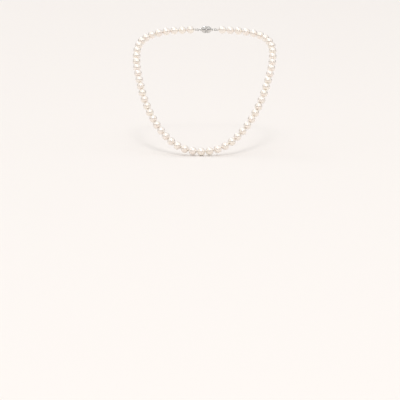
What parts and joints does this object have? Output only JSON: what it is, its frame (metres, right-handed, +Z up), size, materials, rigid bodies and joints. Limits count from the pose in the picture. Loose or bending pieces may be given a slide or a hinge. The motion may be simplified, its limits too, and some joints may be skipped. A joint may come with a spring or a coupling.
{
  "type": "pearl necklace",
  "caption": "Single strand of round pearls knotted on silk, closed at the nape by a two-part magnetic clasp that pulls apart.",
  "frame": {"origin": "the middle of the loop, on the axis of the neck that passes through it", "axes": "+Z up along the wearer's neck, -Y towards the front of the strand, +Y towards the clasp at the nape, X across"},
  "size_m": [0.1306, 0.1231, 0.1034],
  "materials": {
    "nacre": "satin",
    "silk": "matte",
    "white_gold": "polished",
    "gimp_wire": "satin",
    "magnet": "satin"
  },
  "bodies": {
    "centre": {"pearl_centre": "nacre", "silk_thread": "silk"},
    "right_01": {"pearl_right_01": "nacre"},
    "right_02": {"pearl_right_02": "nacre"},
    "right_03": {"pearl_right_03": "nacre"},
    "right_04": {"pearl_right_04": "nacre"},
    "right_05": {"pearl_right_05": "nacre"},
    "right_06": {"pearl_right_06": "nacre"},
    "right_07": {"pearl_right_07": "nacre"},
    "right_08": {"pearl_right_08": "nacre"},
    "right_09": {"pearl_right_09": "nacre"},
    "right_10": {"pearl_right_10": "nacre"},
    "right_11": {"pearl_right_11": "nacre"},
    "right_12": {"pearl_right_12": "nacre"},
    "right_13": {"pearl_right_13": "nacre"},
    "right_14": {"pearl_right_14": "nacre"},
    "right_15": {"pearl_right_15": "nacre"},
    "right_16": {"pearl_right_16": "nacre"},
    "right_17": {"pearl_right_17": "nacre"},
    "right_18": {"pearl_right_18": "nacre"},
    "right_19": {"pearl_right_19": "nacre"},
    "right_20": {"pearl_right_20": "nacre"},
    "right_21": {"pearl_right_21": "nacre"},
    "right_22": {"pearl_right_22": "nacre"},
    "right_23": {"pearl_right_23": "nacre"},
    "right_24_to_25": {"pearls_right_24_to_25": "nacre"},
    "right_26_to_28": {"pearls_right_26_to_28": "nacre"},
    "clasp_right": {"clasp_cup_right": "white_gold", "clasp_magnet_right": "magnet", "jump_ring_right": "white_gold", "gimp_coil_right": "gimp_wire"},
    "left_01": {"pearl_left_01": "nacre"},
    "left_02": {"pearl_left_02": "nacre"},
    "left_03": {"pearl_left_03": "nacre"},
    "left_04": {"pearl_left_04": "nacre"},
    "left_05": {"pearl_left_05": "nacre"},
    "left_06": {"pearl_left_06": "nacre"},
    "left_07": {"pearl_left_07": "nacre"},
    "left_08": {"pearl_left_08": "nacre"},
    "left_09": {"pearl_left_09": "nacre"},
    "left_10": {"pearl_left_10": "nacre"},
    "left_11": {"pearl_left_11": "nacre"},
    "left_12": {"pearl_left_12": "nacre"},
    "left_13": {"pearl_left_13": "nacre"},
    "left_14": {"pearl_left_14": "nacre"},
    "left_15": {"pearl_left_15": "nacre"},
    "left_16": {"pearl_left_16": "nacre"},
    "left_17": {"pearl_left_17": "nacre"},
    "left_18": {"pearl_left_18": "nacre"},
    "left_19": {"pearl_left_19": "nacre"},
    "left_20": {"pearl_left_20": "nacre"},
    "left_21": {"pearl_left_21": "nacre"},
    "left_22": {"pearl_left_22": "nacre"},
    "left_23": {"pearl_left_23": "nacre"},
    "left_24_to_25": {"pearls_left_24_to_25": "nacre"},
    "left_26_to_28": {"pearls_left_26_to_28": "nacre"},
    "clasp_left": {"clasp_cup_left": "white_gold", "clasp_magnet_left": "magnet", "jump_ring_left": "white_gold", "gimp_coil_left": "gimp_wire"}
  },
  "joints": [
    {"name": "right_side_opens", "type": "hinge", "parent": "centre", "child": "right_01", "pos_m": [0.00375, -0.05765, -0.04768], "axis": [0, 0.6428, -0.766], "range_deg": [0, 11.5], "deforming": ["silk_thread"]},
    {"name": "right_02_bends", "type": "hinge", "parent": "right_01", "child": "right_02", "pos_m": [0.01109, -0.05658, -0.04662], "axis": [0, 0.6428, -0.766], "range_deg": [0, 10.73]},
    {"name": "right_03_bends", "type": "hinge", "parent": "right_02", "child": "right_03", "pos_m": [0.01803, -0.05457, -0.0446], "axis": [0, 0.6428, -0.766], "range_deg": [0, 12.33]},
    {"name": "right_04_bends", "type": "hinge", "parent": "right_03", "child": "right_04", "pos_m": [0.0242, -0.05154, -0.04161], "axis": [0, 0.6428, -0.766], "range_deg": [0, 10.99]},
    {"name": "right_05_bends", "type": "hinge", "parent": "right_04", "child": "right_05", "pos_m": [0.02945, -0.0477, -0.03786], "axis": [0, 0.6428, -0.766], "range_deg": [0, 6.11]},
    {"name": "right_06_bends", "type": "hinge", "parent": "right_05", "child": "right_06", "pos_m": [0.03409, -0.04354, -0.03369], "axis": [0, 0.6428, -0.766], "range_deg": [0, 3.28]},
    {"name": "right_07_bends", "type": "hinge", "parent": "right_06", "child": "right_07", "pos_m": [0.03838, -0.03931, -0.02923], "axis": [0, 0.6428, -0.766], "range_deg": [0, 4.32]},
    {"name": "right_08_bends", "type": "hinge", "parent": "right_07", "child": "right_08", "pos_m": [0.0422, -0.03498, -0.02444], "axis": [0, 0.6428, -0.766], "range_deg": [0, 3.9]},
    {"name": "right_09_bends", "type": "hinge", "parent": "right_08", "child": "right_09", "pos_m": [0.04556, -0.03054, -0.01942], "axis": [0, 0.6428, -0.766], "range_deg": [0, 3.02]},
    {"name": "right_10_bends", "type": "hinge", "parent": "right_09", "child": "right_10", "pos_m": [0.04857, -0.02599, -0.01427], "axis": [0, 0.6428, -0.766], "range_deg": [0, 2.67]},
    {"name": "right_11_bends", "type": "hinge", "parent": "right_10", "child": "right_11", "pos_m": [0.05126, -0.02133, -0.00904], "axis": [0, 0.6428, -0.766], "range_deg": [0, 3.29]},
    {"name": "right_12_bends", "type": "hinge", "parent": "right_11", "child": "right_12", "pos_m": [0.05355, -0.01665, -0.00365], "axis": [0, 0.6428, -0.766], "range_deg": [0, 2.68]},
    {"name": "right_13_bends", "type": "hinge", "parent": "right_12", "child": "right_13", "pos_m": [0.0555, -0.01185, 0.00178], "axis": [0, 0.6428, -0.766], "range_deg": [0, 2]},
    {"name": "right_14_bends", "type": "hinge", "parent": "right_13", "child": "right_14", "pos_m": [0.05721, -0.00686, 0.0071], "axis": [0, 0.6428, -0.766], "range_deg": [0, 1.39]},
    {"name": "right_15_bends", "type": "hinge", "parent": "right_14", "child": "right_15", "pos_m": [0.05876, -0.00158, 0.0122], "axis": [0, 0.6428, -0.766], "range_deg": [0, 1.47]},
    {"name": "right_16_bends", "type": "hinge", "parent": "right_15", "child": "right_16", "pos_m": [0.06012, 0.00391, 0.01712], "axis": [0, 0.6428, -0.766], "range_deg": [0, 2.37]},
    {"name": "right_17_bends", "type": "hinge", "parent": "right_16", "child": "right_17", "pos_m": [0.06118, 0.00959, 0.02191], "axis": [0, 0.6428, -0.766], "range_deg": [0, 3.69]},
    {"name": "right_18_bends", "type": "hinge", "parent": "right_17", "child": "right_18", "pos_m": [0.06176, 0.01546, 0.02654], "axis": [0, 0.6428, -0.766], "range_deg": [0, 3.82]},
    {"name": "right_19_bends", "type": "hinge", "parent": "right_18", "child": "right_19", "pos_m": [0.06184, 0.0215, 0.03099], "axis": [0, 0.6428, -0.766], "range_deg": [0, 4.3]},
    {"name": "right_20_bends", "type": "hinge", "parent": "right_19", "child": "right_20", "pos_m": [0.06136, 0.02769, 0.03519], "axis": [0, 0.6428, -0.766], "range_deg": [0, 8.98]},
    {"name": "right_21_bends", "type": "hinge", "parent": "right_20", "child": "right_21", "pos_m": [0.05974, 0.03399, 0.03892], "axis": [0, 0.6428, -0.766], "range_deg": [0, 11.84]},
    {"name": "right_22_bends", "type": "hinge", "parent": "right_21", "child": "right_22", "pos_m": [0.05672, 0.04026, 0.04173], "axis": [0, 0.6428, -0.766], "range_deg": [0, 11.07]},
    {"name": "right_23_bends", "type": "hinge", "parent": "right_22", "child": "right_23", "pos_m": [0.05255, 0.04612, 0.04385], "axis": [0, 0.6428, -0.766], "range_deg": [0, 13.43]},
    {"name": "right_24_to_25_bends", "type": "hinge", "parent": "right_23", "child": "right_24_to_25", "pos_m": [0.04704, 0.05088, 0.04563], "axis": [0, 0.6428, -0.766], "range_deg": [0, 18.04]},
    {"name": "right_26_to_28_bends", "type": "hinge", "parent": "right_24_to_25", "child": "right_26_to_28", "pos_m": [0.03336, 0.05666, 0.04777], "axis": [0, 0.6428, -0.766], "range_deg": [0, 17.01]},
    {"name": "clasp_right_turns", "type": "hinge", "parent": "right_26_to_28", "child": "clasp_right", "pos_m": [0.01099, 0.05883, 0.04884], "axis": [1, 0, 0], "range_deg": [-90, 90]},
    {"name": "left_side_opens", "type": "hinge", "parent": "centre", "child": "left_01", "pos_m": [-0.00375, -0.05765, -0.04768], "axis": [0, -0.6428, 0.766], "range_deg": [0, 11.5], "deforming": ["silk_thread"]},
    {"name": "left_02_bends", "type": "hinge", "parent": "left_01", "child": "left_02", "pos_m": [-0.01109, -0.05658, -0.04662], "axis": [0, -0.6428, 0.766], "range_deg": [0, 10.73]},
    {"name": "left_03_bends", "type": "hinge", "parent": "left_02", "child": "left_03", "pos_m": [-0.01803, -0.05457, -0.0446], "axis": [0, -0.6428, 0.766], "range_deg": [0, 12.33]},
    {"name": "left_04_bends", "type": "hinge", "parent": "left_03", "child": "left_04", "pos_m": [-0.0242, -0.05154, -0.04161], "axis": [0, -0.6428, 0.766], "range_deg": [0, 10.99]},
    {"name": "left_05_bends", "type": "hinge", "parent": "left_04", "child": "left_05", "pos_m": [-0.02945, -0.0477, -0.03786], "axis": [0, -0.6428, 0.766], "range_deg": [0, 6.11]},
    {"name": "left_06_bends", "type": "hinge", "parent": "left_05", "child": "left_06", "pos_m": [-0.03409, -0.04354, -0.03369], "axis": [0, -0.6428, 0.766], "range_deg": [0, 3.28]},
    {"name": "left_07_bends", "type": "hinge", "parent": "left_06", "child": "left_07", "pos_m": [-0.03838, -0.03931, -0.02923], "axis": [0, -0.6428, 0.766], "range_deg": [0, 4.32]},
    {"name": "left_08_bends", "type": "hinge", "parent": "left_07", "child": "left_08", "pos_m": [-0.0422, -0.03498, -0.02444], "axis": [0, -0.6428, 0.766], "range_deg": [0, 3.9]},
    {"name": "left_09_bends", "type": "hinge", "parent": "left_08", "child": "left_09", "pos_m": [-0.04556, -0.03054, -0.01942], "axis": [0, -0.6428, 0.766], "range_deg": [0, 3.02]},
    {"name": "left_10_bends", "type": "hinge", "parent": "left_09", "child": "left_10", "pos_m": [-0.04857, -0.02599, -0.01427], "axis": [0, -0.6428, 0.766], "range_deg": [0, 2.67]},
    {"name": "left_11_bends", "type": "hinge", "parent": "left_10", "child": "left_11", "pos_m": [-0.05126, -0.02133, -0.00904], "axis": [0, -0.6428, 0.766], "range_deg": [0, 3.29]},
    {"name": "left_12_bends", "type": "hinge", "parent": "left_11", "child": "left_12", "pos_m": [-0.05355, -0.01665, -0.00365], "axis": [0, -0.6428, 0.766], "range_deg": [0, 2.68]},
    {"name": "left_13_bends", "type": "hinge", "parent": "left_12", "child": "left_13", "pos_m": [-0.0555, -0.01185, 0.00178], "axis": [0, -0.6428, 0.766], "range_deg": [0, 2]},
    {"name": "left_14_bends", "type": "hinge", "parent": "left_13", "child": "left_14", "pos_m": [-0.05721, -0.00686, 0.0071], "axis": [0, -0.6428, 0.766], "range_deg": [0, 1.39]},
    {"name": "left_15_bends", "type": "hinge", "parent": "left_14", "child": "left_15", "pos_m": [-0.05876, -0.00158, 0.0122], "axis": [0, -0.6428, 0.766], "range_deg": [0, 1.47]},
    {"name": "left_16_bends", "type": "hinge", "parent": "left_15", "child": "left_16", "pos_m": [-0.06012, 0.00391, 0.01712], "axis": [0, -0.6428, 0.766], "range_deg": [0, 2.37]},
    {"name": "left_17_bends", "type": "hinge", "parent": "left_16", "child": "left_17", "pos_m": [-0.06118, 0.00959, 0.02191], "axis": [0, -0.6428, 0.766], "range_deg": [0, 3.69]},
    {"name": "left_18_bends", "type": "hinge", "parent": "left_17", "child": "left_18", "pos_m": [-0.06176, 0.01546, 0.02654], "axis": [0, -0.6428, 0.766], "range_deg": [0, 3.82]},
    {"name": "left_19_bends", "type": "hinge", "parent": "left_18", "child": "left_19", "pos_m": [-0.06184, 0.0215, 0.03099], "axis": [0, -0.6428, 0.766], "range_deg": [0, 4.3]},
    {"name": "left_20_bends", "type": "hinge", "parent": "left_19", "child": "left_20", "pos_m": [-0.06136, 0.02769, 0.03519], "axis": [0, -0.6428, 0.766], "range_deg": [0, 8.98]},
    {"name": "left_21_bends", "type": "hinge", "parent": "left_20", "child": "left_21", "pos_m": [-0.05974, 0.03399, 0.03892], "axis": [0, -0.6428, 0.766], "range_deg": [0, 11.84]},
    {"name": "left_22_bends", "type": "hinge", "parent": "left_21", "child": "left_22", "pos_m": [-0.05672, 0.04026, 0.04173], "axis": [0, -0.6428, 0.766], "range_deg": [0, 11.07]},
    {"name": "left_23_bends", "type": "hinge", "parent": "left_22", "child": "left_23", "pos_m": [-0.05255, 0.04612, 0.04385], "axis": [0, -0.6428, 0.766], "range_deg": [0, 13.43]},
    {"name": "left_24_to_25_bends", "type": "hinge", "parent": "left_23", "child": "left_24_to_25", "pos_m": [-0.04704, 0.05088, 0.04563], "axis": [0, -0.6428, 0.766], "range_deg": [0, 18.04]},
    {"name": "left_26_to_28_bends", "type": "hinge", "parent": "left_24_to_25", "child": "left_26_to_28", "pos_m": [-0.03336, 0.05666, 0.04777], "axis": [0, -0.6428, 0.766], "range_deg": [0, 17.01]},
    {"name": "clasp_left_turns", "type": "hinge", "parent": "left_26_to_28", "child": "clasp_left", "pos_m": [-0.01099, 0.05883, 0.04884], "axis": [-1, 0, 0], "range_deg": [-90, 90]}
  ],
  "couplings": [
    {"joint": "right_02_bends", "follows": "right_side_opens", "ratio": 0.932},
    {"joint": "right_03_bends", "follows": "right_side_opens", "ratio": 1.071},
    {"joint": "right_04_bends", "follows": "right_side_opens", "ratio": 0.955},
    {"joint": "right_05_bends", "follows": "right_side_opens", "ratio": 0.53},
    {"joint": "right_06_bends", "follows": "right_side_opens", "ratio": 0.284},
    {"joint": "right_07_bends", "follows": "right_side_opens", "ratio": 0.375},
    {"joint": "right_08_bends", "follows": "right_side_opens", "ratio": 0.338},
    {"joint": "right_09_bends", "follows": "right_side_opens", "ratio": 0.262},
    {"joint": "right_10_bends", "follows": "right_side_opens", "ratio": 0.231},
    {"joint": "right_11_bends", "follows": "right_side_opens", "ratio": 0.285},
    {"joint": "right_12_bends", "follows": "right_side_opens", "ratio": 0.232},
    {"joint": "right_13_bends", "follows": "right_side_opens", "ratio": 0.173},
    {"joint": "right_14_bends", "follows": "right_side_opens", "ratio": 0.12},
    {"joint": "right_15_bends", "follows": "right_side_opens", "ratio": 0.127},
    {"joint": "right_16_bends", "follows": "right_side_opens", "ratio": 0.205},
    {"joint": "right_17_bends", "follows": "right_side_opens", "ratio": 0.32},
    {"joint": "right_18_bends", "follows": "right_side_opens", "ratio": 0.331},
    {"joint": "right_19_bends", "follows": "right_side_opens", "ratio": 0.373},
    {"joint": "right_20_bends", "follows": "right_side_opens", "ratio": 0.78},
    {"joint": "right_21_bends", "follows": "right_side_opens", "ratio": 1.029},
    {"joint": "right_22_bends", "follows": "right_side_opens", "ratio": 0.962},
    {"joint": "right_23_bends", "follows": "right_side_opens", "ratio": 1.167},
    {"joint": "right_24_to_25_bends", "follows": "right_side_opens", "ratio": 1.568},
    {"joint": "right_26_to_28_bends", "follows": "right_side_opens", "ratio": 1.478},
    {"joint": "left_02_bends", "follows": "left_side_opens", "ratio": 0.932},
    {"joint": "left_03_bends", "follows": "left_side_opens", "ratio": 1.071},
    {"joint": "left_04_bends", "follows": "left_side_opens", "ratio": 0.955},
    {"joint": "left_05_bends", "follows": "left_side_opens", "ratio": 0.53},
    {"joint": "left_06_bends", "follows": "left_side_opens", "ratio": 0.284},
    {"joint": "left_07_bends", "follows": "left_side_opens", "ratio": 0.375},
    {"joint": "left_08_bends", "follows": "left_side_opens", "ratio": 0.338},
    {"joint": "left_09_bends", "follows": "left_side_opens", "ratio": 0.262},
    {"joint": "left_10_bends", "follows": "left_side_opens", "ratio": 0.231},
    {"joint": "left_11_bends", "follows": "left_side_opens", "ratio": 0.285},
    {"joint": "left_12_bends", "follows": "left_side_opens", "ratio": 0.232},
    {"joint": "left_13_bends", "follows": "left_side_opens", "ratio": 0.173},
    {"joint": "left_14_bends", "follows": "left_side_opens", "ratio": 0.12},
    {"joint": "left_15_bends", "follows": "left_side_opens", "ratio": 0.127},
    {"joint": "left_16_bends", "follows": "left_side_opens", "ratio": 0.205},
    {"joint": "left_17_bends", "follows": "left_side_opens", "ratio": 0.32},
    {"joint": "left_18_bends", "follows": "left_side_opens", "ratio": 0.331},
    {"joint": "left_19_bends", "follows": "left_side_opens", "ratio": 0.373},
    {"joint": "left_20_bends", "follows": "left_side_opens", "ratio": 0.78},
    {"joint": "left_21_bends", "follows": "left_side_opens", "ratio": 1.029},
    {"joint": "left_22_bends", "follows": "left_side_opens", "ratio": 0.962},
    {"joint": "left_23_bends", "follows": "left_side_opens", "ratio": 1.167},
    {"joint": "left_24_to_25_bends", "follows": "left_side_opens", "ratio": 1.568},
    {"joint": "left_26_to_28_bends", "follows": "left_side_opens", "ratio": 1.478}
  ]
}
